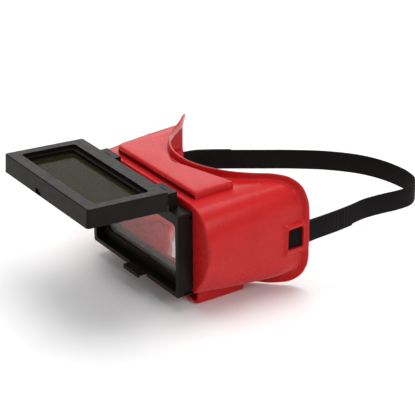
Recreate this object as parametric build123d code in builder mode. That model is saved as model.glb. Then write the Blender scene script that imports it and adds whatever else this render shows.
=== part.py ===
from build123d import *
import math
import os

os.makedirs("parts", exist_ok=True)

# Welding goggles with a lift-up filter: a soft moulded body, a rigid front frame with a clear
# lens, a hinged frame with the dark filter, and an elastic head strap. Millimetres, +Z up.
# The lens side faces -Y and +X is the wearer's left. The origin lies on the flat underside
# of the bottom vent cover, on the centre line. The filter frame is drawn lifted.

# ---- filter plates: the standard 2 x 4 1/4 inch size ----
PLATE_WIDE = 108.0
PLATE_TALL = 50.8
PLATE_PLAY = 0.4
VIEW_WIDE = 103.0
VIEW_TALL = 45.4
VIEW_ROUND = 8.0

# ---- fixed front frame ----
FRONT_Y = -24.0
SILL_Z = 12.0
FRAME_WIDE = 117.6
FRAME_TALL = 66.5
FRAME_DEEP = 12.9
SIDE_RIM = 3.5
BOTTOM_RIM = 3.4
TOP_RIM = 8.0
POCKET_DEEP = 1.6
RECESS_DEEP = 7.0
BEZEL = 2.0
FRAME_TOP = SILL_Z + FRAME_TALL
FRAME_BACK = FRONT_Y + FRAME_DEEP
FRAME_MID = SILL_Z + FRAME_TALL / 2
VIEW_Z = SILL_Z + 33.3
SEAT_Y = FRONT_Y + RECESS_DEEP + BEZEL
CLEAR_THICK = 2.0
GASKET_THICK = 1.4

# ---- hinge of the filter frame ----
OPEN_ANGLE = 93.75
HINGE_Y = FRONT_Y - 2.56
HINGE_Z = SILL_Z + 75.34
EAR_IN = 28.0
EAR_OUT = 47.5
LUG_WIDE = 5.5
LUG_R = 4.66
LUG_BACK = FRONT_Y + 7.4
LUG_NOSE = 1.2
KNUCKLE_R = 4.4
KNUCKLE_GAP = 0.3
KNUCKLE_WIDE = EAR_OUT - EAR_IN - 2 * LUG_WIDE - 2 * KNUCKLE_GAP
WEB_GAP = 0.4
PIN_R = 1.5
PIN_PLAY = 0.05

# ---- filter frame, measured in its own plane from the hinge axis ----
FLIP_WIDE = 118.0
FLIP_TALL = FRAME_TALL
FLIP_THICK = 14.3
FLIP_FREE = -71.64
FREE_BORDER = 9.6
FLIP_TOP = FLIP_FREE + FLIP_TALL
FLIP_MID = FLIP_FREE + FLIP_TALL / 2
FLIP_REAR = -2.26
FLIP_OUTER = FLIP_REAR + FLIP_THICK
FLIP_VIEW = FLIP_FREE + FREE_BORDER + VIEW_TALL / 2
LIP_DEEP = 2.8
STEP_DEEP = 1.6
STEP_IN = 3.0
COVER_THICK = 1.2
FILTER_THICK = 3.0
RIM_OUT = 2.0
RIM_WIDE = 104.0
RIM_TALL = 45.0
RIM_WALL = 2.0
RIM_DROP = 1.2
RELIEF_WALL = 1.8
RELIEF_DEEP = 10.0
CATCH_X = -9.0
CATCH_WIDE = 7.5
CATCH_DEEP = 1.3
CATCH_TALL = 4.0
NUB_OUT = 2.4
NUB_ROOT = 1.2
NUB_LONG = 6.0
NUB_TALL = 3.5
NUB_RISE = 7.0

# ---- latch tongue ----
LATCH_X = 4.5
LATCH_WIDE = 21.0
LATCH_GAP = 0.5
LATCH_THICK = 1.6
LATCH_TOP = SILL_Z + 3.2
LATCH_REACH = 7.0
LATCH_ROOT = FRONT_Y + 5.2
NOTCH_DEEP = 5.6
RIDGE_LONG = 2.0
RIDGE_DOWN = 1.2

# ---- soft body ----
WALL = 3.0
BODY_FRONT = FRAME_BACK
BODY_REAR = FRONT_Y + 104.2
FLANGE = 2.2
BROW_LIP_LOW = SILL_Z + 66
BROW_LIP_TALL = 12.5
RETAINER_THICK = 2.2
RETAINER_RIM = 3.0

# ---- vent covers and the holes under them ----
HOOD_WALL = 1.8
TOP_HOOD = SILL_Z + 78.5
TOP_HOOD_HALF = 53.0
TOP_HOOD_FRONT = FRONT_Y + 18.2
TOP_HOOD_LONG = 36.0
BOTTOM_HOOD_HALF = 56.5
BOTTOM_HOOD_FRONT = FRONT_Y + 17.0
BOTTOM_HOOD_LONG = 44.5
HOOD_ROUND = 4.0
VENT_COUNT = 6
VENT_PITCH = 14.0
VENT_LONG = 9.0
VENT_WIDE = 5.0
TOP_VENT_Y = FRONT_Y + 30
BOTTOM_VENT_Y = FRONT_Y + 25

# ---- strap ----
STRAP_WIDE = 16.0
STRAP_THICK = 1.4
STRAP_Z = SILL_Z + 33.0
LAYER = 1.8
BAR_X = 78.6
BAR_Y = FRONT_Y + 85.2
BAR_THICK = 1.1
BAR_LONG = 2.4
FOLD_R = 1.4
BAR_TALL = 24.0
PAD_IN = 74.6
PAD_OUT = 82.3
PAD_FRONT = FRONT_Y + 79.0
PAD_TALL = 29.0
PAD_Z = STRAP_Z - 1.0
WINDOW_FRONT = FRONT_Y + 81.0
WINDOW_REAR = FRONT_Y + 95.0
WINDOW_TALL = 17.2
WINDOW_Z = STRAP_Z + 0.6
SLOT_IN = BAR_X - 2.6
SLOT_THICK = 5.0
SLOT_TALL = STRAP_WIDE + 1.4


def facing(y, z=0.0):
    """Plane at depth y that looks forwards: X across, Z up; a positive extrude goes forwards."""
    return Plane((0, y, z), x_dir=(1, 0, 0), z_dir=(0, -1, 0))


def shut_angle(degrees):
    """Plane through the hinge axis, lifted by so many degrees from the closed position."""
    turn = math.radians(degrees)
    return Plane((0, HINGE_Y, HINGE_Z), x_dir=(1, 0, 0), z_dir=(0, -math.cos(turn), math.sin(turn)))


FLIP = shut_angle(OPEN_ANGLE)


def barrel(corners, inset):
    """Closed section with a flat top and bottom and bowed sides, drawn inset by a wall."""
    shrink_x = 1 - inset / BODY_HALF_WIDE
    shrink_z = 1 - inset / BODY_HALF_TALL
    right = [(x * shrink_x, VIEW_Z + (z + SILL_Z - VIEW_Z) * shrink_z) for x, z in corners]
    left = [(-x, z) for x, z in reversed(right)]
    Spline(*right, tangents=((1, 0), (-1, 0)))
    Line(right[-1], left[0])
    Spline(*left, tangents=((-1, 0), (1, 0)))
    Line(left[-1], right[0])


BODY_HALF_WIDE = 80.0
BODY_HALF_TALL = 38.0
FRONT_OUTLINE = [(50, 72.5), (71.8, 64), (80, 41), (67.5, 9.8), (55, 1.5)]
REAR_OUTLINE = [(58, 70), (75, 61), (79.5, 35), (76.5, 2), (60, -9.8)]


def rim_curve(half):
    """Symmetrical plan curve of a rim, from its half given as (x, depth behind the frame front)."""
    right = [(x, FRONT_Y + y) for x, y in half]
    left = [(-x, y) for x, y in reversed(right[1:])]
    return Spline(*left, *right)


BROW = [(0, 44), (28, 50.8), (47, 66.4), (56, 80.5), (66, 90), (80, 98)]
CHEEK = [(0, 32), (18, 42), (31, 51), (42, 62), (55, 79), (66, 90), (80, 97)]
BEHIND = BODY_REAR + 30
BESIDE = 100.0


def region_behind(half, height, tall):
    """Closed solid of everything behind a rim curve, between two heights."""
    with BuildPart(mode=Mode.PRIVATE) as region:
        with BuildSketch(Plane.XY.offset(height)):
            with BuildLine():
                curve = rim_curve(half)
                ends = FRONT_Y + half[-1][1]
                Polyline(
                    curve @ 1, (BESIDE, ends), (BESIDE, BEHIND), (-BESIDE, BEHIND), (-BESIDE, ends), curve @ 0
                )
            make_face()
        extrude(amount=tall)
    return region.part



# Solid outer shape of the body, used to shape the vent covers too.
with BuildPart() as body_shape:
    with BuildSketch(facing(BODY_FRONT)):
        with BuildLine():
            barrel(FRONT_OUTLINE, 0)
        make_face()
    with BuildSketch(facing(BODY_REAR)):
        with BuildLine():
            barrel(REAR_OUTLINE, 0)
        make_face()
    loft()

with BuildPart() as body_hollow:
    with BuildSketch(facing(BODY_FRONT + WALL)):
        with BuildLine():
            barrel(FRONT_OUTLINE, WALL)
        make_face()
    with BuildSketch(facing(BODY_REAR + 1)):
        with BuildLine():
            barrel(REAR_OUTLINE, WALL)
        make_face()
    loft()

behind_brow = region_behind(BROW, SILL_Z + 58, 40)
behind_cheek = region_behind(CHEEK, -5, SILL_Z + 13)

# Soft body: a barrel-sided box, open at the face, with a turned-out flange round its rear rim.
with BuildPart() as goggle_body:
    add(body_shape.part)
    # flange round the sides
    with BuildSketch(facing(BODY_REAR)):
        with BuildLine():
            barrel(REAR_OUTLINE, -FLANGE + 0.2)
        make_face()
    extrude(amount=7)
    # flange over the brow
    with BuildSketch(Plane.XY.offset(BROW_LIP_LOW)):
        with BuildLine():
            rim_curve(BROW)
        trace(line_width=2 * FLANGE)
    extrude(amount=BROW_LIP_TALL)
    # flange round the nose and cheeks
    with BuildSketch(Plane.XY.offset(0.2)):
        with BuildLine():
            rim_curve(CHEEK)
        trace(line_width=2 * FLANGE)
    extrude(amount=SILL_Z)
    add(body_hollow.part, mode=Mode.SUBTRACT)
    # pads that carry the strap, with a window, a slot through the rear edge and a bar
    for side in (-1, 1):
        with BuildSketch(Plane.YZ.offset(side * PAD_IN)):
            with Locations(((PAD_FRONT + BODY_REAR) / 2, PAD_Z)):
                RectangleRounded(BODY_REAR - PAD_FRONT, PAD_TALL, 3)
        extrude(amount=side * (PAD_OUT - PAD_IN))
        with BuildSketch(Plane.YZ.offset(side * SLOT_IN)):
            with Locations(((WINDOW_FRONT + WINDOW_REAR) / 2, WINDOW_Z)):
                RectangleRounded(WINDOW_REAR - WINDOW_FRONT, WINDOW_TALL, 2)
        extrude(amount=side * (PAD_OUT + 1 - SLOT_IN), mode=Mode.SUBTRACT)
        with BuildSketch(Plane.YZ.offset(side * SLOT_IN)):
            with Locations(((WINDOW_FRONT + BODY_REAR + 1) / 2, STRAP_Z)):
                Rectangle(BODY_REAR + 1 - WINDOW_FRONT, SLOT_TALL)
        extrude(amount=side * SLOT_THICK, mode=Mode.SUBTRACT)
        with BuildSketch(Plane.XY.offset(STRAP_Z - BAR_TALL / 2)):
            with Locations((side * BAR_X, BAR_Y)):
                RectangleRounded(BAR_THICK, BAR_LONG, 0.5)
        extrude(amount=BAR_TALL)
    # the rear rim seen from the side
    with BuildSketch(Plane.YZ):
        with BuildLine():
            rim = Spline(
                (FRONT_Y + 93, -2),
                (FRONT_Y + 101, SILL_Z + 1),
                (FRONT_Y + 104.2, SILL_Z + 29),
                (FRONT_Y + 98, SILL_Z + 64),
                (FRONT_Y + 96, SILL_Z + 80),
            )
            Polyline(rim @ 1, (BEHIND, SILL_Z + 80), (BEHIND, -2), rim @ 0)
        make_face()
    extrude(amount=100, both=True, mode=Mode.SUBTRACT)
    add(behind_brow, mode=Mode.SUBTRACT)
    add(behind_cheek, mode=Mode.SUBTRACT)
    # opening for the lens retainer
    with BuildSketch(facing(BODY_FRONT + WALL + 1, VIEW_Z)):
        Rectangle(PLATE_WIDE + 1.2, PLATE_TALL + 1.2)
    extrude(amount=WALL + 2, mode=Mode.SUBTRACT)
    # rows of vent holes under the covers
    for height, tall, depth in ((SILL_Z + 60, 14, TOP_VENT_Y), (2, 16, BOTTOM_VENT_Y)):
        with BuildSketch(Plane.XY.offset(height)):
            with Locations((0, depth)):
                with GridLocations(VENT_PITCH, 1, VENT_COUNT, 1):
                    SlotOverall(VENT_LONG, VENT_WIDE)
        extrude(amount=tall, mode=Mode.SUBTRACT)
goggle_body.part.label = "goggle_body"
export_step(goggle_body.part, "parts/goggle_body.step")

# Top vent cover: a low box over the vent holes, open towards the front.
with BuildPart() as top_vent_cover:
    with BuildSketch(Plane.XY.offset(BROW_LIP_LOW)):
        with Locations((0, TOP_HOOD_FRONT + TOP_HOOD_LONG / 2)):
            RectangleRounded(2 * TOP_HOOD_HALF, TOP_HOOD_LONG, HOOD_ROUND)
    extrude(amount=TOP_HOOD - BROW_LIP_LOW)
    with BuildSketch(Plane.XY.offset(BROW_LIP_LOW)):
        with Locations((0, TOP_HOOD_FRONT + TOP_HOOD_LONG / 2 - 2 * HOOD_WALL)):
            RectangleRounded(2 * (TOP_HOOD_HALF - HOOD_WALL), TOP_HOOD_LONG, HOOD_ROUND)
    extrude(amount=TOP_HOOD - HOOD_WALL - BROW_LIP_LOW, mode=Mode.SUBTRACT)
    add(body_shape.part, mode=Mode.SUBTRACT)
    with BuildSketch(Plane.XY.offset(SILL_Z + 60)):
        with BuildLine():
            rim_curve(BROW)
        trace(line_width=2 * FLANGE + 0.1)
    extrude(amount=30, mode=Mode.SUBTRACT)
    add(behind_brow, mode=Mode.SUBTRACT)
top_vent_cover.part.label = "top_vent_cover"
export_step(top_vent_cover.part, "parts/top_vent_cover.step")

# Bottom vent cover: the same below, with the flat face that the goggles stand on.
with BuildPart() as bottom_vent_cover:
    with BuildSketch(Plane.XY):
        with Locations((0, BOTTOM_HOOD_FRONT + BOTTOM_HOOD_LONG / 2)):
            RectangleRounded(2 * BOTTOM_HOOD_HALF, BOTTOM_HOOD_LONG, HOOD_ROUND)
    extrude(amount=SILL_Z)
    with BuildSketch(Plane.XY.offset(HOOD_WALL)):
        with Locations((0, BOTTOM_HOOD_FRONT + BOTTOM_HOOD_LONG / 2 - 2 * HOOD_WALL)):
            RectangleRounded(2 * (BOTTOM_HOOD_HALF - HOOD_WALL), BOTTOM_HOOD_LONG, HOOD_ROUND)
    extrude(amount=SILL_Z, mode=Mode.SUBTRACT)
    add(body_shape.part, mode=Mode.SUBTRACT)
    with BuildSketch(Plane.XY.offset(-1)):
        with BuildLine():
            rim_curve(CHEEK)
        trace(line_width=2 * FLANGE + 0.1)
    extrude(amount=30, mode=Mode.SUBTRACT)
    add(behind_cheek, mode=Mode.SUBTRACT)
bottom_vent_cover.part.label = "bottom_vent_cover"
export_step(bottom_vent_cover.part, "parts/bottom_vent_cover.step")

# Fixed front frame: a shallow tray with the clear lens seated from behind and two hinge ears.
with BuildPart() as front_frame:
    with BuildSketch(facing(FRAME_BACK, FRAME_MID)):
        RectangleRounded(FRAME_WIDE, FRAME_TALL, 1.5)
    extrude(amount=FRAME_DEEP)
    recess_tall = FRAME_TALL - BOTTOM_RIM - TOP_RIM
    with BuildSketch(facing(FRONT_Y + RECESS_DEEP, SILL_Z + BOTTOM_RIM + recess_tall / 2)):
        RectangleRounded(FRAME_WIDE - 2 * SIDE_RIM, recess_tall, 3)
    extrude(amount=RECESS_DEEP, mode=Mode.SUBTRACT)
    with BuildSketch(facing(FRAME_BACK, VIEW_Z)):
        RectangleRounded(VIEW_WIDE, VIEW_TALL, VIEW_ROUND)
    extrude(amount=FRAME_DEEP, mode=Mode.SUBTRACT)
    with BuildSketch(facing(FRAME_BACK, VIEW_Z)):
        Rectangle(PLATE_WIDE + 2 * PLATE_PLAY, PLATE_TALL + 2 * PLATE_PLAY)
    extrude(amount=FRAME_BACK - SEAT_Y, mode=Mode.SUBTRACT)
    # two lugs in each hinge ear: round in front, square behind
    for x in (EAR_IN, EAR_OUT - LUG_WIDE, -EAR_IN - LUG_WIDE, -EAR_OUT):
        with BuildSketch(Plane.YZ.offset(x)):
            with Locations((HINGE_Y, HINGE_Z)):
                Circle(LUG_R)
            with BuildLine():
                Polyline(
                    (FRONT_Y, FRAME_TOP - 1),
                    (LUG_BACK, FRAME_TOP - 1),
                    (LUG_BACK, HINGE_Z + LUG_R),
                    (HINGE_Y, HINGE_Z + LUG_R),
                    (HINGE_Y, HINGE_Z),
                    (FRONT_Y, HINGE_Z - LUG_R + LUG_NOSE),
                    close=True,
                )
            make_face()
        extrude(amount=LUG_WIDE)
    # a web behind each knuckle joins the two lugs of an ear
    for x in (EAR_IN + LUG_WIDE, -EAR_OUT + LUG_WIDE):
        with BuildSketch(Plane.YZ.offset(x)):
            with BuildLine():
                web_front = HINGE_Y + KNUCKLE_R + WEB_GAP
                Polyline(
                    (web_front, FRAME_TOP - 1),
                    (LUG_BACK, FRAME_TOP - 1),
                    (LUG_BACK, HINGE_Z + LUG_R),
                    (web_front, HINGE_Z + LUG_R),
                    close=True,
                )
            make_face()
        extrude(amount=EAR_OUT - EAR_IN - 2 * LUG_WIDE)
    with BuildSketch(Plane.YZ.offset(-EAR_OUT)):
        with Locations((HINGE_Y, HINGE_Z)):
            Circle(PIN_R)
    extrude(amount=2 * EAR_OUT, mode=Mode.SUBTRACT)
    # notch for the latch tongue in the bottom rim
    with BuildSketch(Plane.XY.offset(SILL_Z)):
        with Locations((LATCH_X, FRONT_Y + NOTCH_DEEP / 2)):
            Rectangle(LATCH_WIDE + 2 * LATCH_GAP, NOTCH_DEEP)
    extrude(amount=BOTTOM_RIM, mode=Mode.SUBTRACT)
    # moulded pockets at the rear corners of the side faces
    for side in (-1, 1):
        with BuildSketch(Plane.YZ.offset(side * (FRAME_WIDE / 2 - POCKET_DEEP))):
            with Locations((FRAME_BACK - 4, SILL_Z + 3.4)):
                Rectangle(8, 4)
            with Locations((FRAME_BACK - 2, FRAME_TOP - 3.8)):
                Rectangle(3, 2.4)
        extrude(amount=side * 2, mode=Mode.SUBTRACT)
front_frame.part.label = "front_frame"
export_step(front_frame.part, "parts/front_frame.step")

# Clear lens and its gasket, seated in the back of the front frame.
with BuildPart() as clear_lens:
    with BuildSketch(facing(SEAT_Y + CLEAR_THICK, VIEW_Z)):
        Rectangle(PLATE_WIDE, PLATE_TALL)
    extrude(amount=CLEAR_THICK)
    fillet(clear_lens.edges().filter_by(Axis.Y), 1.5)
clear_lens.part.label = "clear_lens"
export_step(clear_lens.part, "parts/clear_lens.step")

GASKET_BACK = SEAT_Y + CLEAR_THICK + GASKET_THICK
with BuildPart() as lens_gasket:
    with BuildSketch(facing(GASKET_BACK, VIEW_Z)):
        Rectangle(PLATE_WIDE, PLATE_TALL)
        RectangleRounded(PLATE_WIDE - 8, PLATE_TALL - 8, 6, mode=Mode.SUBTRACT)
    extrude(amount=GASKET_THICK)
lens_gasket.part.label = "lens_gasket"
export_step(lens_gasket.part, "parts/lens_gasket.step")

# Retainer: its collar presses the gasket home and its flange clamps the soft front wall.
with BuildPart() as lens_retainer:
    flange_back = BODY_FRONT + WALL + RETAINER_THICK
    with BuildSketch(facing(flange_back, VIEW_Z)):
        RectangleRounded(PLATE_WIDE + 2 * RETAINER_RIM, PLATE_TALL + 2 * RETAINER_RIM, RETAINER_RIM)
    extrude(amount=RETAINER_THICK)
    with BuildSketch(facing(flange_back, VIEW_Z)):
        Rectangle(PLATE_WIDE, PLATE_TALL)
    extrude(amount=flange_back - GASKET_BACK)
    with BuildSketch(facing(flange_back, VIEW_Z)):
        RectangleRounded(VIEW_WIDE - 1, VIEW_TALL - 1, VIEW_ROUND - 1)
    extrude(amount=flange_back - GASKET_BACK, mode=Mode.SUBTRACT)
lens_retainer.part.label = "lens_retainer"
export_step(lens_retainer.part, "parts/lens_retainer.step")

# Filter frame: a deep open box with a stepped viewing window, and two hinge knuckles.
with BuildPart() as flip_frame:
    with BuildSketch(FLIP.offset(FLIP_REAR)):
        with Locations((0, FLIP_MID)):
            RectangleRounded(FLIP_WIDE, FLIP_TALL, 2)
    extrude(amount=FLIP_THICK)
    fillet(flip_frame.faces().sort_by(Axis.Z)[-1].edges(), 0.8)
    with BuildSketch(FLIP.offset(FLIP_OUTER - LIP_DEEP)):
        with Locations((0, FLIP_VIEW)):
            RectangleRounded(VIEW_WIDE, VIEW_TALL, 2.5)
    extrude(amount=LIP_DEEP, mode=Mode.SUBTRACT)
    with BuildSketch(FLIP.offset(FLIP_OUTER - LIP_DEEP - STEP_DEEP)):
        with Locations((0, FLIP_VIEW)):
            RectangleRounded(VIEW_WIDE - 2 * STEP_IN, VIEW_TALL - 2 * STEP_IN, 3)
    extrude(amount=STEP_DEEP, mode=Mode.SUBTRACT)
    with BuildSketch(FLIP.offset(FLIP_REAR)):
        with Locations((0, FLIP_VIEW)):
            Rectangle(PLATE_WIDE + 2 * PLATE_PLAY, PLATE_TALL + 2 * PLATE_PLAY)
    extrude(amount=FLIP_THICK - LIP_DEEP - STEP_DEEP, mode=Mode.SUBTRACT)
    # long reliefs that thin the two deep borders from behind
    seat_half = PLATE_TALL / 2 + PLATE_PLAY + RELIEF_WALL
    for low, high in (
        (FLIP_FREE + RELIEF_WALL, FLIP_VIEW - seat_half),
        (FLIP_VIEW + seat_half, FLIP_TOP - RELIEF_WALL),
    ):
        with BuildSketch(FLIP.offset(FLIP_REAR)):
            with Locations((0, (low + high) / 2)):
                Rectangle(VIEW_WIDE + 6, high - low)
        extrude(amount=RELIEF_DEEP, mode=Mode.SUBTRACT)
    # catch pocket in the free edge, and a thumb nub at its right end
    with BuildSketch(FLIP.offset(FLIP_REAR + 0.6)):
        with Locations((CATCH_X, FLIP_FREE + CATCH_DEEP / 2)):
            Rectangle(CATCH_WIDE, CATCH_DEEP)
    extrude(amount=CATCH_TALL, mode=Mode.SUBTRACT)
    with BuildSketch(FLIP.offset(FLIP_REAR + NUB_RISE)):
        with Locations((-FLIP_WIDE / 2 - NUB_OUT / 2 + NUB_ROOT / 2, FLIP_FREE + NUB_LONG)):
            RectangleRounded(NUB_OUT + NUB_ROOT, NUB_LONG, 1)
    extrude(amount=NUB_TALL)
    # knuckles
    for x in (EAR_IN + LUG_WIDE, -EAR_OUT + LUG_WIDE):
        with BuildSketch(Plane.YZ.offset(x + KNUCKLE_GAP)):
            with Locations((HINGE_Y, HINGE_Z)):
                Circle(KNUCKLE_R)
        extrude(amount=KNUCKLE_WIDE)
        with BuildSketch(FLIP.offset(FLIP_REAR)):
            with Locations((x + KNUCKLE_GAP + KNUCKLE_WIDE / 2, FLIP_TOP / 2 - 0.5)):
                Rectangle(KNUCKLE_WIDE, -FLIP_TOP + 1)
        extrude(amount=KNUCKLE_R - FLIP_REAR)
    with BuildSketch(Plane.YZ.offset(-EAR_OUT)):
        with Locations((HINGE_Y, HINGE_Z)):
            Circle(PIN_R + PIN_PLAY)
    extrude(amount=2 * EAR_OUT, mode=Mode.SUBTRACT)
flip_frame.part.label = "flip_frame"
export_step(flip_frame.part, "parts/flip_frame.step")

# The stack in the filter frame, from its outer side to its rear.
COVER_TOP = FLIP_OUTER - LIP_DEEP - STEP_DEEP
FILTER_TOP = COVER_TOP - COVER_THICK
GASKET_TOP = FILTER_TOP - FILTER_THICK
RING_TOP = GASKET_TOP - GASKET_THICK

with BuildPart() as cover_plate:
    with BuildSketch(FLIP.offset(FILTER_TOP)):
        with Locations((0, FLIP_VIEW)):
            Rectangle(PLATE_WIDE, PLATE_TALL)
    extrude(amount=COVER_THICK)
cover_plate.part.label = "cover_plate"
export_step(cover_plate.part, "parts/cover_plate.step")

with BuildPart() as shade_filter:
    with BuildSketch(FLIP.offset(GASKET_TOP)):
        with Locations((0, FLIP_VIEW)):
            Rectangle(PLATE_WIDE, PLATE_TALL)
    extrude(amount=FILTER_THICK)
shade_filter.part.label = "shade_filter"
export_step(shade_filter.part, "parts/shade_filter.step")

with BuildPart() as filter_gasket:
    with BuildSketch(FLIP.offset(RING_TOP)):
        with Locations((0, FLIP_VIEW)):
            Rectangle(PLATE_WIDE, PLATE_TALL)
            RectangleRounded(PLATE_WIDE - 8, PLATE_TALL - 8, 5, mode=Mode.SUBTRACT)
    extrude(amount=GASKET_THICK)
filter_gasket.part.label = "filter_gasket"
export_step(filter_gasket.part, "parts/filter_gasket.step")

# Retainer ring: fills the seat behind the gasket and stands out behind as a nesting rim.
with BuildPart() as filter_retainer:
    with BuildSketch(FLIP.offset(FLIP_REAR)):
        with Locations((0, FLIP_VIEW)):
            Rectangle(PLATE_WIDE, PLATE_TALL)
    extrude(amount=RING_TOP - FLIP_REAR)
    with BuildSketch(FLIP.offset(FLIP_REAR - RIM_OUT)):
        with Locations((0, FLIP_VIEW - RIM_DROP)):
            RectangleRounded(RIM_WIDE, RIM_TALL, 5)
    extrude(amount=RIM_OUT)
    with BuildSketch(FLIP.offset(FLIP_REAR - RIM_OUT)):
        with Locations((0, FLIP_VIEW - RIM_DROP)):
            RectangleRounded(RIM_WIDE - 2 * RIM_WALL, RIM_TALL - 2 * RIM_WALL, 4)
    extrude(amount=RING_TOP - FLIP_REAR + RIM_OUT, mode=Mode.SUBTRACT)
filter_retainer.part.label = "filter_retainer"
export_step(filter_retainer.part, "parts/filter_retainer.step")

# Hinge pins, one in each ear.
for name, start in (("hinge_pin_left", EAR_IN), ("hinge_pin_right", -EAR_OUT)):
    with BuildPart() as hinge_pin:
        with BuildSketch(Plane.YZ.offset(start)):
            with Locations((HINGE_Y, HINGE_Z)):
                Circle(PIN_R)
        extrude(amount=EAR_OUT - EAR_IN)
        chamfer(hinge_pin.edges().filter_by(GeomType.CIRCLE), 0.25)
    hinge_pin.part.label = name
    export_step(hinge_pin.part, f"parts/{name}.step")

# Latch tongue: a springy finger tab in the notch of the bottom rim, with a low catch ridge.
with BuildPart() as latch_tongue:
    tab_front = FRONT_Y - LATCH_REACH
    with BuildSketch(Plane.XY.offset(LATCH_TOP - LATCH_THICK)):
        with Locations((LATCH_X, (LATCH_ROOT + tab_front) / 2)):
            RectangleRounded(LATCH_WIDE, LATCH_ROOT - tab_front, 1)
    extrude(amount=LATCH_THICK)
    with BuildSketch(Plane.XY.offset(LATCH_TOP - LATCH_THICK - RIDGE_DOWN)):
        with Locations((LATCH_X, tab_front + RIDGE_LONG / 2)):
            RectangleRounded(LATCH_WIDE, RIDGE_LONG, 0.8)
    extrude(amount=RIDGE_DOWN + 0.4)
latch_tongue.part.label = "latch_tongue"
export_step(latch_tongue.part, "parts/latch_tongue.step")


def second_layer(points):
    """A run of strap from its bar, moved outwards: past the bar at first, then layer on layer."""
    moved = []
    outwards = math.copysign(1, points[0][0])
    for i, (x, y) in enumerate(points):
        ax, ay = points[max(i - 1, 0)]
        bx, by = points[min(i + 1, len(points) - 1)]
        run = math.hypot(bx - ax, by - ay)
        offset = outwards * (2 * FOLD_R if i < 2 else LAYER)
        moved.append((x + offset * (by - ay) / run, y - offset * (bx - ax) / run))
    return moved


# Strap, in plan, as (x, depth behind the frame front): from the left bar round to the right bar.
LEFT_RUN = [(77.2, 84.4), (77.2, 100), (77.4, 110), (77, 120), (76.4, 132), (75, 146)]
LOOP = [(73, 160), (74, 178), (76, 192), (75, 207), (67, 217), (55, 221), (38, 221), (11, 213),
        (-12, 196), (-32, 173), (-47, 152)]
RIGHT_RUN = [(-61, 132), (-71, 117), (-76.5, 107), (-77.2, 97), (-77.2, 84.4)]


def placed(points):
    return [(x, FRONT_Y + y) for x, y in points]


with BuildPart() as strap:
    with BuildSketch(Plane.XY.offset(STRAP_Z - STRAP_WIDE / 2)):
        with BuildLine():
            main = Spline(*placed(LEFT_RUN + LOOP + RIGHT_RUN), tangents=((0, 1), (0, -1)))
            left_tail = Spline(*second_layer(placed(LEFT_RUN)), tangents=((0, 1), (-0.1, 1)))
            right_tail = Spline(*second_layer(placed(RIGHT_RUN[::-1])), tangents=((0, 1), (0.6, 0.8)))
            for inner, outer in ((main @ 0, left_tail @ 0), (main @ 1, right_tail @ 0)):
                ThreePointArc(inner, ((inner.X + outer.X) / 2, inner.Y - FOLD_R), outer)
        trace(line_width=STRAP_THICK)
    extrude(amount=STRAP_WIDE)
strap.part.label = "strap"
export_step(strap.part, "parts/strap.step")
print("strap run", round(main.length), "tails", round(left_tail.length), round(right_tail.length))
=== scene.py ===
import math

import bmesh
import bpy
from mathutils import Matrix, Vector


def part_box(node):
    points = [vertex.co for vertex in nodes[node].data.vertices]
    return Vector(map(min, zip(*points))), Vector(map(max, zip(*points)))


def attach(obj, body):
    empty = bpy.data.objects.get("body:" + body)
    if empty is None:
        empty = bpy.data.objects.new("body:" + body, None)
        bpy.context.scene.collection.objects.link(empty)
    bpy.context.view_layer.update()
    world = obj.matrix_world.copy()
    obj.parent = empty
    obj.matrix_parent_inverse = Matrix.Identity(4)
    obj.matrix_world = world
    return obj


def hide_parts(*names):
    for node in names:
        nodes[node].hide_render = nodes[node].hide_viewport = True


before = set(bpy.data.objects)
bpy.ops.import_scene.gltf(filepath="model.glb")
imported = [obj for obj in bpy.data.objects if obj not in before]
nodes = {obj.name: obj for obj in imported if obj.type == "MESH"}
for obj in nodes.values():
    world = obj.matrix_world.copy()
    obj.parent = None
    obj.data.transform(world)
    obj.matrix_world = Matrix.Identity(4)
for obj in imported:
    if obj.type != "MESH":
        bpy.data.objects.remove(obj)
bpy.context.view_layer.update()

# Welding goggles with the filter frame lifted. Lengths below are millimetres unless a name says
# otherwise; put() turns them into metres. Depths are measured back from the fixed frame's front
# face and heights up from its lower edge, then moved to the row frame by ORIGIN.
MM = 0.001
frame_low, frame_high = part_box("front_frame")
ORIGIN = Vector((0, (frame_high.y - 0.0129) / MM, frame_low.z / MM))
FRONT_WALL = 12.9


def put(x, depth, height):
    """A point given in the frame's own measures, as metres in the row frame."""
    return (Vector((x, depth, height)) + ORIGIN) * MM


def smooth_step(value):
    value = min(max(value, 0.0), 1.0)
    return value * value * (3 - 2 * value)


# ---------------------------------------------------------------- curves and meshes

def curve_through(points, per_span, closed=False):
    """Smooth curve through points of any dimension, spaced by chord: a list of tuples."""
    count = len(points)
    spans = count if closed else count - 1

    def at(i):
        if closed:
            return Vector(points[i % count])
        if i < 0:
            return 2 * Vector(points[0]) - Vector(points[1])
        if i >= count:
            return 2 * Vector(points[-1]) - Vector(points[-2])
        return Vector(points[i])

    out = []
    for i in range(spans):
        before, start, end, after = (at(i + k) for k in (-1, 0, 1, 2))
        steps = (start - before, end - start, after - end)
        gaps = [max(step.length, 1e-6) for step in steps]
        rates = [step / gap for step, gap in zip(steps, gaps)]
        slope_0 = (rates[0] * gaps[1] + rates[1] * gaps[0]) / (gaps[0] + gaps[1])
        slope_1 = (rates[1] * gaps[2] + rates[2] * gaps[1]) / (gaps[1] + gaps[2])
        for k in range(per_span):
            t = k / per_span
            out.append((2 * t**3 - 3 * t**2 + 1) * start + (t**3 - 2 * t**2 + t) * gaps[1] * slope_0
                       + (3 * t**2 - 2 * t**3) * end + (t**3 - t**2) * gaps[1] * slope_1)
    if not closed:
        out.append(at(count - 1))
    return out


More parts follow.
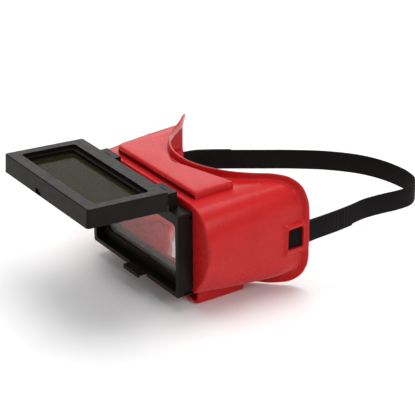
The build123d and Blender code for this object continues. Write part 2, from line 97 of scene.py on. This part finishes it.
def grid_mesh(name, rows, close_rows=True, close_columns=True, caps=False):
    """Mesh of quads over a grid of points in metres."""
    mesh = bpy.data.meshes.new(name)
    wide = len(rows[0])
    verts = [tuple(p) for row in rows for p in row]
    faces = []
    for i in range(len(rows) if close_rows else len(rows) - 1):
        for j in range(wide if close_columns else wide - 1):
            a, b = i * wide, ((i + 1) % len(rows)) * wide
            faces.append((a + j, a + (j + 1) % wide, b + (j + 1) % wide, b + j))
    if caps:
        faces.append(tuple(range(wide))[::-1])
        last = (len(rows) - 1) * wide
        faces.append(tuple(range(last, last + wide)))
    mesh.from_pydata(verts, [], faces)
    mesh.update()
    return mesh


def new_object(name, mesh, material, smooth=True):
    bm = bmesh.new()
    bm.from_mesh(mesh)
    bmesh.ops.recalc_face_normals(bm, faces=bm.faces)
    bm.to_mesh(mesh)
    bm.free()
    obj = bpy.data.objects.new(name, mesh)
    bpy.context.scene.collection.objects.link(obj)
    obj.data.materials.append(material)
    for face in mesh.polygons:
        face.use_smooth = smooth
    return obj


def apply_modifiers(obj):
    graph = bpy.context.evaluated_depsgraph_get()
    mesh = bpy.data.meshes.new_from_object(obj.evaluated_get(graph))
    obj.modifiers.clear()
    obj.data = mesh


def box_mesh(name, low, high, bevel=0.0):
    """Closed box between two corners in metres, with its edges rounded."""
    bm = bmesh.new()
    bmesh.ops.create_cube(bm, size=1)
    for v in bm.verts:
        v.co = Vector([low[k] + (v.co[k] + 0.5) * (high[k] - low[k]) for k in range(3)])
    if bevel:
        bmesh.ops.bevel(bm, geom=bm.edges[:], offset=bevel, segments=4, profile=0.5, affect="EDGES")
    mesh = bpy.data.meshes.new(name)
    bm.to_mesh(mesh)
    bm.free()
    return mesh


def cut(obj, cutters, operation="DIFFERENCE"):
    """Boolean of obj with several closed meshes, applied."""
    helpers = []
    for mesh in cutters:
        helper = bpy.data.objects.new("cutter", mesh)
        bpy.context.scene.collection.objects.link(helper)
        helpers.append(helper)
        mod = obj.modifiers.new("cut", "BOOLEAN")
        mod.object = helper
        mod.operation = operation
        mod.solver = "EXACT"
    apply_modifiers(obj)
    for helper in helpers:
        bpy.data.objects.remove(helper, do_unlink=True)


# ---------------------------------------------------------------- materials

class Shader:
    """A Principled material with object coordinates to hang textures on."""

    def __init__(self, name, color, roughness, specular=0.5):
        self.material = bpy.data.materials.new(name)
        self.material.use_nodes = True
        self.tree = self.material.node_tree
        self.main = self.tree.nodes["Principled BSDF"]
        self.main.inputs["Base Color"].default_value = (*color, 1)
        self.main.inputs["Roughness"].default_value = roughness
        self.main.inputs["Specular IOR Level"].default_value = specular
        self.place = self.tree.nodes.new("ShaderNodeTexCoord").outputs["Object"]
        self.last_bump = None

    def node(self, kind, **values):
        made = self.tree.nodes.new("ShaderNode" + kind)
        for key, value in values.items():
            if key in made.inputs:
                made.inputs[key].default_value = value
            else:
                setattr(made, key, value)
        return made

    def link(self, source, target):
        self.tree.links.new(source, target)

    def noise(self, scale, detail=3.0, rough=0.55):
        made = self.node("TexNoise", Scale=scale, Detail=detail, Roughness=rough)
        self.link(self.place, made.inputs["Vector"])
        return made.outputs["Fac"]

    def ramp(self, source, low, high, start=0.3, end=0.7):
        made = self.node("MapRange")
        made.inputs["From Min"].default_value = start
        made.inputs["From Max"].default_value = end
        made.inputs["To Min"].default_value = low
        made.inputs["To Max"].default_value = high
        self.link(source, made.inputs["Value"])
        return made.outputs["Result"]

    def tint(self, source, dark, light):
        made = self.node("ValToRGB")
        made.color_ramp.elements[0].position = 0.3
        made.color_ramp.elements[0].color = (*dark, 1)
        made.color_ramp.elements[1].position = 0.7
        made.color_ramp.elements[1].color = (*light, 1)
        self.link(source, made.inputs["Fac"])
        self.link(made.outputs["Color"], self.main.inputs["Base Color"])

    def bump(self, source, distance, strength=1.0):
        made = self.node("Bump", Distance=distance, Strength=strength)
        self.link(source, made.inputs["Height"])
        if self.last_bump:
            self.link(self.last_bump, made.inputs["Normal"])
        self.last_bump = made.outputs["Normal"]
        self.link(self.last_bump, self.main.inputs["Normal"])


def soft_red_pvc():
    """Soft moulded PVC: a satin skin, slightly uneven, with a thin gloss coat."""
    shader = Shader("soft_red_pvc", (0.50, 0.012, 0.013), 0.3, 0.16)
    shader.tint(shader.noise(45), (0.47, 0.0105, 0.0115), (0.54, 0.0145, 0.0155))
    shader.link(shader.ramp(shader.noise(160, 4), 0.24, 0.34), shader.main.inputs["Roughness"])
    shader.main.inputs["Coat Weight"].default_value = 0.05
    shader.main.inputs["Coat Roughness"].default_value = 0.12
    shader.bump(shader.noise(70, 2), 0.00025, 0.5)
    shader.bump(shader.noise(2600, 2), 0.00002, 0.5)
    return shader.material


def black_plastic():
    """Injection-moulded black nylon: fine spark grain, slightly worn sheen."""
    shader = Shader("moulded_black_plastic", (0.0075, 0.0062, 0.0055), 0.38, 0.1)
    shader.tint(shader.noise(60, 4), (0.0058, 0.0047, 0.0042), (0.0095, 0.0078, 0.0070))
    shader.link(shader.ramp(shader.noise(220, 5), 0.3, 0.44), shader.main.inputs["Roughness"])
    shader.main.inputs["Specular Tint"].default_value = (1.0, 0.9, 0.84, 1)
    grain = shader.node("TexVoronoi", Scale=2600.0)
    shader.link(shader.place, grain.inputs["Vector"])
    shader.bump(grain.outputs["Distance"], 0.000025, 0.5)
    return shader.material


def filter_plate():
    """Shade filter: near-opaque olive plate with a faint unevenness."""
    shader = Shader("olive_filter", (0.0125, 0.0115, 0.0018), 0.12, 0.02)
    shader.tint(shader.noise(12, 1), (0.0112, 0.0102, 0.0013), (0.0135, 0.0124, 0.0020))
    shader.link(shader.ramp(shader.noise(120, 3), 0.1, 0.16), shader.main.inputs["Roughness"])
    shader.bump(shader.noise(24, 1), 0.00008, 0.3)
    return shader.material


def clear_sheet(name, alpha, roughness, specular):
    """Clear polycarbonate with a light haze and faint wipe marks."""
    shader = Shader(name, (0.86, 0.82, 0.80), roughness, specular)
    shader.main.inputs["Alpha"].default_value = alpha
    shader.link(shader.ramp(shader.noise(140, 5), roughness * 0.8, roughness * 1.4),
                shader.main.inputs["Roughness"])
    shader.bump(shader.noise(30, 1), 0.00004, 0.25)
    return shader.material


def elastic_webbing():
    """Woven elastic: ribs along the length, fine picks across, a little lint."""
    shader = Shader("black_elastic", (0.0035, 0.0022, 0.0022), 0.8, 0.12)
    ribs = shader.node("TexWave", bands_direction="Z", Scale=620.0, Distortion=0.2)
    shader.link(shader.place, ribs.inputs["Vector"])
    shader.tint(ribs.outputs["Fac"], (0.0018, 0.0010, 0.0010), (0.0065, 0.0042, 0.0042))
    shader.bump(ribs.outputs["Fac"], 0.00012, 0.8)
    shader.bump(shader.noise(2400, 3), 0.00008, 0.7)
    shader.main.inputs["Sheen Weight"].default_value = 0.02
    shader.main.inputs["Sheen Roughness"].default_value = 0.5
    return shader.material


def pin_steel():
    shader = Shader("pin_steel", (0.42, 0.41, 0.40), 0.32)
    shader.main.inputs["Metallic"].default_value = 1.0
    turned = shader.node("TexWave", bands_direction="X", Scale=900.0, Distortion=0.6)
    shader.link(shader.place, turned.inputs["Vector"])
    shader.link(shader.ramp(shader.noise(500), 0.26, 0.4), shader.main.inputs["Roughness"])
    shader.bump(turned.outputs["Fac"], 0.00001, 0.4)
    return shader.material


def black_rubber():
    shader = Shader("black_rubber", (0.012, 0.012, 0.012), 0.7, 0.3)
    shader.tint(shader.noise(90), (0.010, 0.010, 0.010), (0.016, 0.016, 0.015))
    shader.bump(shader.noise(900, 3), 0.00004, 0.5)
    return shader.material


RED = soft_red_pvc()
BLACK = black_plastic()
WEBBING = elastic_webbing()

# ---------------------------------------------------------------- camera and studio

LENS = 141.97
CAMERA_PLACE = (0.9283, -0.6000, 0.5874)
CAMERA_BEARING, CAMERA_PITCH, CAMERA_ROLL = 55.3085, 25.6907, -0.24679


def set_camera():
    camera = bpy.data.objects.new("camera", bpy.data.cameras.new("camera"))
    bpy.context.scene.collection.objects.link(camera)
    camera.data.sensor_width = 36
    camera.data.lens = LENS
    camera.data.clip_start = 0.01
    bearing, pitch, roll = (math.radians(a) for a in (CAMERA_BEARING, CAMERA_PITCH, CAMERA_ROLL))
    turn = Matrix.Rotation(bearing, 4, "Z") @ Matrix.Rotation(math.pi / 2 - pitch, 4, "X")
    place = Matrix.Translation(CAMERA_PLACE)
    camera.matrix_world = place @ turn @ Matrix.Rotation(roll, 4, "Z")
    bpy.context.scene.camera = camera


def area_light(name, place, size, power):
    """A rectangular white light aimed at the middle of the goggles; metres and watts."""
    light = bpy.data.lights.new(name, "AREA")
    light.shape = "RECTANGLE"
    light.size, light.size_y = size
    light.energy = power
    obj = bpy.data.objects.new(name, light)
    bpy.context.scene.collection.objects.link(obj)
    obj.location = place
    obj.rotation_euler = (Vector(LIT_POINT) - Vector(place)).to_track_quat("-Z", "Y").to_euler()


WORLD_LEVEL = 0.42
LIT_POINT = (0, 0.03, 0.05)
LIGHTS = [
    ("overhead", (-0.1, 0.15, 1.5), (1.2, 1.2), 17),
    ("back_left", (-1.48, 1.06, 0.92), (1.7, 1.1), 10),
    ("front_left", (-1.0, -1.4, 0.7), (0.9, 0.7), 2),
    ("right", (1.7, 0.3, 1.2), (0.8, 0.8), 11),
]
FLOOR_HALF, FLOOR_LEVEL = 4, -0.0002


def set_studio():
    scene = bpy.context.scene
    scene.view_settings.view_transform = "Standard"
    world = bpy.data.worlds.new("studio")
    scene.world = world
    world.use_nodes = True
    back = world.node_tree.nodes["Background"]
    back.inputs["Color"].default_value = (1, 1, 1, 1)
    back.inputs["Strength"].default_value = WORLD_LEVEL
    paper = Shader("pale_floor", (0.93, 0.93, 0.93), 0.9, 0.1)
    paper.tint(paper.noise(8), (0.925, 0.925, 0.925), (0.935, 0.935, 0.935))
    rows = [[(x, y, FLOOR_LEVEL) for y in (-FLOOR_HALF, FLOOR_HALF)] for x in (-FLOOR_HALF, FLOOR_HALF)]
    floor = new_object("floor", grid_mesh("floor", rows, False, False), paper.material, False)
    for light in LIGHTS:
        area_light(*light)


set_camera()
set_studio()

# ---------------------------------------------------------------- soft body

# Half section, from the top centre round to the bottom centre: half width and height at the
# front wall, half width and height at the rear rim, depth of the rim, and how far the turned-out
# lip reaches from there (outwards, back, up).
SECTION = [
    (0, 72.0, 0, 74.0, 42.6, 0, 0.6, 6.6),
    (14, 72.0, 14, 74.0, 44.2, 0, 0.6, 6.5),
    (28, 72.0, 28, 74.0, 50.0, 0, 0.5, 6.2),
    (41, 72.0, 42, 74.2, 59.2, 0.2, 0.4, 5.8),
    (50, 71.9, 52, 74.4, 70.0, 0.4, 0.2, 5.2),
    (58, 71.2, 62, 74.4, 82.6, 0.8, 0.2, 5.0),
    (65.6, 69.0, 69.5, 72.8, 89.2, 2.2, 0.6, 5.2),
    (71.8, 64.0, 75, 68.8, 92.4, 4.4, 1.6, 4.6),
    (76.7, 55.7, 78.4, 61, 94.2, 5.8, 2.4, 2.4),
    (79.5, 45, 79.8, 48, 95.0, 5.6, 2.8, 0.8),
    (79.7, 35.4, 80.2, 36, 95.4, 5.4, 2.8, 0),
    (75.6, 23, 80, 21, 95.4, 5.2, 2.8, 0),
    (67.5, 9.8, 77.6, 7.5, 95.0, 5.0, 2.8, -1.2),
    (62.8, 3.6, 73.6, 0.8, 93.6, 3.8, 2.6, -3.6),
    (60.2, 1.2, 70.2, -2.2, 91.0, 2.0, 1.8, -5.8),
    (56, 0.6, 64.5, -3.8, 83.5, 0.8, 1.2, -7.0),
    (46, 0.6, 52, -4.4, 69.5, 0.2, 0.8, -7.2),
    (34, 0.6, 37, -4.4, 55.0, 0, 0.6, -6.8),
    (17, 0.6, 18, -4.0, 43.0, 0, 0.6, -5.6),
    (0, 0.6, 0, -3.6, 31.0, 0, 0.6, -5.0),
]
# The soft rim stands a little further up and back at the wearer's right temple: the lip there,
# by station counted from the top centre.
RIGHT_TEMPLE_LIP = {6: (1.6, 2.4, 6.2), 7: (1.5, 4.4, 8.1), 8: (5.2, 4.6, 3.2), 9: (5.6, 3.8, 1.0)}
REAR_PLANE = 95.0
SHELL = 2.6
WALL_BOW = 0.9
EDGE_ROUND = 1.3
LIP_THICK = 2.0
VIEW_CENTRE = 33.3
MOUTH_HALF = (54.6, 26.0)


def full_section(per_span):
    """The section stations all the way round, smoothly interpolated, mirrored left to right."""
    right = [tuple(map(float, row)) for row in SECTION]
    left = []
    for i in range(len(right) - 2, 0, -1):
        x, z, rear_x, rear_z, rim, *lip = right[i]
        out, back, up = RIGHT_TEMPLE_LIP.get(i, lip)
        left.append((-x, z, -rear_x, rear_z, rim, -out, back, up))
    return curve_through(right + left, per_span, closed=True)


def mouth_point(x, z):
    """Where the line from the window's centre to a front point crosses the mouth's edge."""
    dx, dz = x, z - VIEW_CENTRE
    reach = min(MOUTH_HALF[0] / max(abs(dx), 1e-6), MOUTH_HALF[1] / max(abs(dz), 1e-6))
    return x * reach, VIEW_CENTRE + dz * reach


PAD_FRONT, PAD_LOW, PAD_HIGH, PAD_RISE = 79.2, 19.5, 46.4, 3.0


def pad_rise(depth, height):
    """How far the strap boss stands out from the side wall."""
    return (PAD_RISE * smooth_step((depth - PAD_FRONT + 1.2) / 2.4) * smooth_step((height - PAD_LOW) / 2.6)
            * smooth_step((PAD_HIGH - height) / 2.0))


def body_profile(row, normal):
    """One closed section strip of the shell at a station: a list of points round the wall."""
    front_x, front_z, rear_x, rear_z, rim, lip_out, lip_back, lip_up = row
    out = Vector((normal[0], 0, normal[1]))

    def wall(depth, inward=0.0, boss=False):
        t = (depth - FRONT_WALL) / (REAR_PLANE - FRONT_WALL)
        bow = WALL_BOW * math.sin(math.pi * min(max(t, 0), 1))
        point = Vector((front_x + (rear_x - front_x) * t, depth, front_z + (rear_z - front_z) * t))
        rise = pad_rise(depth, point.z) if boss and abs(point.x) > 60 else 0
        return point + out * (bow + rise - inward)

    lip = Vector((lip_out, lip_back, lip_up))
    lip -= wall(rim, boss=True) - wall(rim)

    mouth = mouth_point(front_x, front_z)
    points = [Vector((mouth[0], FRONT_WALL, mouth[1]))]
    corner = wall(FRONT_WALL)
    points.append(Vector((mouth[0], FRONT_WALL, mouth[1])).lerp(corner - out * 4, 0.6))
    points.append(corner - out * (EDGE_ROUND + 1.2))
    for k in range(5):
        angle = math.pi / 2 * k / 4
        centre = wall(FRONT_WALL + EDGE_ROUND, EDGE_ROUND)
        forward = Vector((0, EDGE_ROUND * math.cos(angle), 0))
        points.append(centre + out * EDGE_ROUND * math.sin(angle) - forward)
    bend = 1.7
    last = rim - bend
    start = FRONT_WALL + EDGE_ROUND + 1
    rows = 26
    for k in range(rows):
        t = k / (rows - 1)
        points.append(wall(start + (last - start) * (1 - (1 - t) ** 1.6), boss=True))
    crease = wall(rim, boss=True)
    lip_way = lip.normalized()
    before, after = points[-1], crease + lip_way * bend
    for t in (0.25, 0.5, 0.75, 1.0):
        points.append(before * (1 - t) ** 2 + crease * 2 * t * (1 - t) + after * t * t)
    edge = crease + lip
    back = Vector((0, 1, 0)) - lip_way * lip_way.y
    back.normalize()
    half = LIP_THICK / 2
    points.append((after + edge) / 2)
    points.append(edge - lip_way * half)
    for k in range(1, 6):
        angle = math.pi * k / 6
        points.append(edge - lip_way * half + lip_way * half * math.sin(angle)
                      + back * half * (1 - math.cos(angle)))
    points.append(edge - lip_way * half + back * LIP_THICK)
    points.append((after + edge) / 2 + back * LIP_THICK)
    root = wall(rim) + back * LIP_THICK
    outer, turn, inner = root + lip_way * 1.2, root - out * SHELL * 0.9, wall(rim - 1.6, SHELL)
    for t in (0.1, 0.3, 0.5, 0.7, 0.9):
        points.append(outer * (1 - t) ** 2 + turn * 2 * t * (1 - t) + inner * t * t)
    for t in (0.97, 0.85, 0.7, 0.55, 0.4, 0.25, 0.12):
        points.append(wall(FRONT_WALL + SHELL + (rim - FRONT_WALL - SHELL - 2.0) * t, SHELL))
    points.append(wall(FRONT_WALL + SHELL + 1.2, SHELL))
    points.append(wall(FRONT_WALL + SHELL, SHELL + 1.2))
    inner = wall(FRONT_WALL + SHELL, SHELL + 4)
    points.append(inner.lerp(Vector((mouth[0], FRONT_WALL + SHELL, mouth[1])), 0.5))
    points.append(Vector((mouth[0], FRONT_WALL + SHELL, mouth[1])))
    return [put(*p) for p in points]


def section_normals(stations):
    """Outward normals in the plane of the section, from the front and rear outlines together."""
    normals = []
    count = len(stations)
    for i in range(count):
        a, b = stations[i - 1], stations[(i + 1) % count]
        tx = (b[0] - a[0]) + (b[2] - a[2])
        tz = (b[1] - a[1]) + (b[3] - a[3])
        size = math.hypot(tx, tz)
        normals.append((-tz / size, tx / size))
    return normals


def make_body():
    stations = full_section(7)
    rows = [body_profile(row, normal) for row, normal in zip(stations, section_normals(stations))]
    body = new_object("soft_body", grid_mesh("soft_body", rows), RED)
    return body


SIDES = (-1, 1)
WINDOW_DEPTH, WINDOW_HEIGHT = (80.9, 94.8), (25.2, 42.4)
SLOT_X, SLOT_HEIGHT = (76.2, 81.2), (25.0, 42.6)
PAST_WALL, PAST_RIM = 95, 112
BACKING_SPANS = (74.8, 79.6), (79.8, 95.6), (17.5, 46.5)
BAR_SPANS = (78.05, 79.15), (84.0, 86.4), (19, 44)
BACKING_ROUND, WINDOW_ROUND, BAR_ROUND = 1.2, 1.6, 0.4


def side_box(side, x_span, depth_span, height_span, bevel=0.0):
    """Box on one side of the goggles, from spans in the frame's own measures."""
    xs = sorted(side * x for x in x_span)
    return box_mesh("box", put(xs[0], depth_span[0], height_span[0]),
                    put(xs[1], depth_span[1], height_span[1]), bevel * MM)


def add_strap_anchors(body):
    """Thickens the wall inside each strap boss, then cuts its window and slot and adds the bar."""
    window = (SLOT_X[0], PAST_WALL), WINDOW_DEPTH, WINDOW_HEIGHT
    slot_depth = WINDOW_DEPTH[0] + 1, PAST_RIM
    cut(body, [side_box(s, *BACKING_SPANS, BACKING_ROUND) for s in SIDES], "UNION")
    cut(body, [side_box(s, *window, WINDOW_ROUND) for s in SIDES])
    cut(body, [side_box(s, SLOT_X, slot_depth, SLOT_HEIGHT) for s in SIDES])
    cut(body, [side_box(s, *BAR_SPANS, BAR_ROUND) for s in SIDES], "UNION")


def cut_vents(body):
    """Rows of vent holes through the top and bottom walls, under the covers."""
    holes = []
    for depth, height_span in VENT_ROWS:
        for k in range(VENT_COUNT):
            x = (k - (VENT_COUNT - 1) / 2) * VENT_PITCH
            low = put(x - VENT_LONG / 2, depth - VENT_WIDE / 2, height_span[0])
            high = put(x + VENT_LONG / 2, depth + VENT_WIDE / 2, height_span[1])
            holes.append(box_mesh("hole", low, high, VENT_ROUND * MM))
    cut(body, holes)


VENT_COUNT, VENT_PITCH, VENT_LONG, VENT_WIDE, VENT_ROUND = 6, 14.0, 9.0, 5.0, 1.8
VENT_ROWS = ((30.0, (66.0, 77.0)), (25.0, (-6.0, 6.0)))
BODY_SHARP = math.radians(38)
body = make_body()
add_strap_anchors(body)
cut_vents(body)
for face in body.data.polygons:
    face.use_smooth = True
body.data.set_sharp_from_angle(angle=BODY_SHARP)
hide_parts("goggle_body")
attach(body, "goggles")

# ---------------------------------------------------------------- vent covers

def rounded_plan(corners):
    """Closed plan outline from corners given as (x, depth, radius)."""
    out = []
    count = len(corners)
    for i, (x, y, radius) in enumerate(corners):
        here = Vector((x, y))
        before, after = Vector(corners[i - 1][:2]) - here, Vector(corners[(i + 1) % count][:2]) - here
        half = before.angle(after) / 2
        reach = min(radius / math.tan(half), before.length * 0.45, after.length * 0.45)
        start, end = here + before.normalized() * reach, here + after.normalized() * reach
        steps = max(1, round((math.pi - 2 * half) / 0.25))
        for k in range(steps + 1):
            t = k / steps
            out.append(start * (1 - t) ** 2 + here * 2 * t * (1 - t) + end * t * t)
    return out


def inset_plan(outline, distance):
    """The outline moved inwards; it runs anticlockwise seen from above."""
    moved = []
    for i, point in enumerate(outline):
        along = outline[(i + 1) % len(outline)] - outline[i - 1]
        along.normalize()
        moved.append(point + Vector((-along.y, along.x)) * distance)
    return moved


def densify(outline, longest=4.0):
    out = []
    for i, point in enumerate(outline):
        after = outline[(i + 1) % len(outline)]
        pieces = max(1, math.ceil((after - point).length / longest))
        out += [point.lerp(after, k / pieces) for k in range(pieces)]
    return out


def vent_cover(name, corners, top, foot, front, edge, drop, slope=0.0, crown=0.4, thick=1.7):
    """A shallow cap over the vent holes: closed at the sides and rear, with an open front slit.

    top and foot are heights; foot lies inside the body. edge is the radius round the top, slope how
    far the top rises towards the rear, and drop the depth of the front lip.
    """
    outline = densify(rounded_plan(corners))
    up = math.copysign(1, top - foot)
    middle = sum((p.y for p in outline)) / len(outline)
    far = max(p.y for p in outline)

    def level(point, below):
        return top + slope * (point.y - front) / (far - front) - up * below

    def crowned(inset, share, below):
        ring = [Vector((p.x * share, middle + (p.y - middle) * share)) for p in inset_plan(outline, inset)]
        return [put(p.x, p.y, level(p, below) + up * crown * (1 - share * share)) for p in ring]

    def rounded(radius, base, turn):
        ring = inset_plan(outline, base + radius * (1 - math.sin(turn)))
        return [put(p.x, p.y, level(p, base + radius * (1 - math.cos(turn)))) for p in ring]

    def upright(inset, share):
        ring = []
        for p, q in zip(outline, inset_plan(outline, inset)):
            edge_level = level(q, edge)
            at_front = smooth_step((front + 2.2 - p.y) / 1.6)
            low = edge_level - up * (drop - edge) if at_front > 0.5 else foot
            ring.append(put(q.x, q.y, edge_level + (low - edge_level) * share))
        return ring

    shares = (0.1, 0.4, 0.65, 0.85)
    turns = [math.pi / 2 * k / 5 for k in range(6)]
    rows = [crowned(edge, share, 0) for share in shares]
    rows += [rounded(edge, 0, turn) for turn in turns]
    rows += [upright(0, share) for share in (0.4, 0.7, 1.0)]
    rows += [upright(thick, share) for share in (1.0, 0.7, 0.4)]
    rows += [rounded(max(edge - thick, 0.2), thick, turn) for turn in reversed(turns)]
    rows += [crowned(edge, share, thick) for share in reversed(shares)]
    cover = new_object(name, grid_mesh(name, rows, close_rows=False, caps=True), RED)
    cover.data.set_sharp_from_angle(angle=math.radians(40))
    return cover


TOP_PLAN = [(-53, 18.2, 7), (53, 18.2, 4), (55.8, 51.5, 1), (50, 49.4, 6), (38, 45, 30), (27, 42, 30),
            (12, 39.2, 30), (-12, 39.2, 30), (-27, 42, 30), (-38, 45, 30), (-50, 49.4, 6), (-55.8, 51.5, 1)]
top_cover = vent_cover("top_cover", TOP_PLAN, top=78.4, foot=70.6, front=18.2, edge=2.2, drop=2.8,
                       slope=0.9)
BOTTOM_PLAN = [(-56.5, 17, 5), (56.5, 17, 5), (57.5, 61.5, 3), (44, 58.5, 6), (34, 50.0, 20), (18, 39.5, 20),
               (0, 29.0, 20), (-18, 39.5, 20), (-34, 50.0, 20), (-44, 58.5, 6), (-57.5, 61.5, 3)]
bottom_cover = vent_cover("bottom_cover", BOTTOM_PLAN, top=-12.0, foot=1.0, front=17, edge=2.6, drop=3.0,
                          crown=0.0)
for cover, node in ((top_cover, "top_vent_cover"), (bottom_cover, "bottom_vent_cover")):
    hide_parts(node)
    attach(cover, "goggles")

# ---------------------------------------------------------------- strap

STRAP_WIDE, STRAP_THICK, STRAP_MIDDLE = 16.8, 1.4, 33.7
LEFT_RUN = [(77.2, 82.7), (77.2, 100), (77.4, 110), (77, 120), (76.4, 132), (75, 146)]
LOOP = [(73, 160), (74, 178), (76, 192), (75, 207), (67, 217), (55, 221), (38, 221), (11, 213),
        (-12, 196), (-32, 173), (-47, 152)]
RIGHT_RUN = [(-61, 132), (-71, 117), (-76.5, 107), (-77.2, 97), (-77.2, 82.7)]
FOLD_HALF, LAYER = 1.4, 1.6


def second_layer(points):
    """The doubled end of the strap: the same run moved outwards, past the bar and then layer on layer."""
    moved = []
    outwards = math.copysign(1, points[0][0])
    for i, (x, y) in enumerate(points):
        ax, ay = points[max(i - 1, 0)]
        bx, by = points[min(i + 1, len(points) - 1)]
        run = math.hypot(bx - ax, by - ay)
        offset = outwards * (2 * FOLD_HALF if i < 2 else LAYER)
        moved.append((x + offset * (by - ay) / run, y - offset * (bx - ax) / run))
    return moved


def fold(inner, outer):
    """Half turn of the strap round its bar, from one layer to the other."""
    middle, half = (inner + outer) / 2, (inner - outer) / 2
    return [middle + half * math.cos(math.pi * k / 8) - Vector((0, FOLD_HALF * math.sin(math.pi * k / 8)))
            for k in range(1, 8)]


def strap_path():
    """The whole strap in plan: tail, fold, main run, fold, tail."""
    main = curve_through(LEFT_RUN + LOOP + RIGHT_RUN, 8)
    left = curve_through(second_layer(LEFT_RUN), 8)
    right = curve_through(second_layer(RIGHT_RUN[::-1]), 8)
    return left[::-1] + fold(left[0], main[0]) + main + fold(main[-1], right[0]) + right


def ribbon(name, path, middle, wide, thick, material):
    """Flat webbing standing on edge along a plan path, with rounded selvedges and closed ends."""
    half_w, half_t = wide / 2, thick / 2
    section = [(half_t, half_w - 0.7), (half_t * 0.6, half_w - 0.15), (-half_t * 0.6, half_w - 0.15),
               (-half_t, half_w - 0.7), (-half_t, -half_w + 0.7), (-half_t * 0.6, -half_w + 0.15),
               (half_t * 0.6, -half_w + 0.15), (half_t, -half_w + 0.7)]
    rows = []
    for i, point in enumerate(path):
        along = path[min(i + 1, len(path) - 1)] - path[max(i - 1, 0)]
        along.normalize()
        side = Vector((along.y, -along.x))
        rows.append([put(*(point + side * a), middle + b) for a, b in section])
    obj = new_object(name, grid_mesh(name, rows, close_rows=False, caps=True), material)
    obj.data.set_sharp_from_angle(angle=math.radians(50))
    return obj


LEFT_STITCHES = (3, 5, 9, 11)
RIGHT_STITCHES = (-4, -6, -10, -12)
STITCH_LONG, STITCH_WIDE, STITCH_DEEP, STITCH_SPACING = 1.1, 0.34, 0.3, 1.5
STITCH_MARGIN = 1.5


def stitching(name, path, rows):
    """Rows of thread stitches across the outer face of the strap's doubled end."""
    bm = bmesh.new()
    for row in rows:
        point, along = path[row], (path[row + 1] - path[row - 1]).normalized()
        outward = Vector((along.y, -along.x))
        if outward.x * point.x < 0:
            outward = -outward
        centre = point + outward * STRAP_THICK / 2
        count = round((STRAP_WIDE - 2 * STITCH_MARGIN) / STITCH_SPACING)
        for k in range(count + 1):
            height = STRAP_MIDDLE + (k - count / 2) * STITCH_SPACING
            turn = Matrix((
                (along.x, outward.x, 0, 0), (along.y, outward.y, 0, 0), (0, 0, 1, 0), (0, 0, 0, 1)))
            size = Matrix.Diagonal((STITCH_WIDE * MM, STITCH_DEEP * MM, STITCH_LONG / 2 * MM, 1))
            place = Matrix.Translation(put(centre.x, centre.y, height)) @ turn @ size
            bmesh.ops.create_icosphere(bm, subdivisions=2, radius=1, matrix=place)
    mesh = bpy.data.meshes.new(name)
    bm.to_mesh(mesh)
    bm.free()
    obj = new_object(name, mesh, THREAD)
    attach(obj, "goggles")
    return obj


def sewing_thread():
    """Dark polyester thread, a little lighter than the webbing."""
    shader = Shader("black_thread", (0.012, 0.010, 0.010), 0.55, 0.3)
    twist = shader.node("TexWave", bands_direction="DIAGONAL", Scale=1600.0, Distortion=0.3)
    shader.link(shader.place, twist.inputs["Vector"])
    shader.tint(twist.outputs["Fac"], (0.008, 0.0065, 0.0065), (0.018, 0.015, 0.015))
    shader.bump(twist.outputs["Fac"], 0.00003, 0.6)
    return shader.material


THREAD = sewing_thread()
path = strap_path()
strap = ribbon("head_strap", path, STRAP_MIDDLE, STRAP_WIDE, STRAP_THICK, WEBBING)
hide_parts("strap")
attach(strap, "goggles")
stitching("left_stitching", path, LEFT_STITCHES)
stitching("right_stitching", path, RIGHT_STITCHES)

# ---------------------------------------------------------------- rigid parts from the frame

FINISHES = {
    "front_frame": BLACK, "flip_frame": BLACK, "lens_retainer": BLACK, "filter_retainer": BLACK,
    "latch_tongue": BLACK, "shade_filter": filter_plate(),
    "clear_lens": clear_sheet("clear_lens_plate", 0.12, 0.12, 0.3),
    "cover_plate": clear_sheet("clear_cover_plate", 0.004, 0.12, 0.02),
    "lens_gasket": black_rubber(), "filter_gasket": black_rubber(),
    "hinge_pin_left": pin_steel(), "hinge_pin_right": pin_steel(),
}
EDGE_BREAK = {"front_frame": 0.35, "flip_frame": 0.5, "latch_tongue": 0.3}
for node, finish in FINISHES.items():
    part = nodes[node]
    for index in range(max(len(part.material_slots), 1)):
        if part.material_slots:
            part.material_slots[index].material = finish
        else:
            part.data.materials.append(finish)
    if node in EDGE_BREAK:
        soften = part.modifiers.new("edge_break", "BEVEL")
        soften.width = EDGE_BREAK[node] * MM
        soften.segments = 2
        soften.limit_method = "ANGLE"
        soften.angle_limit = math.radians(40)
        soften.harden_normals = True
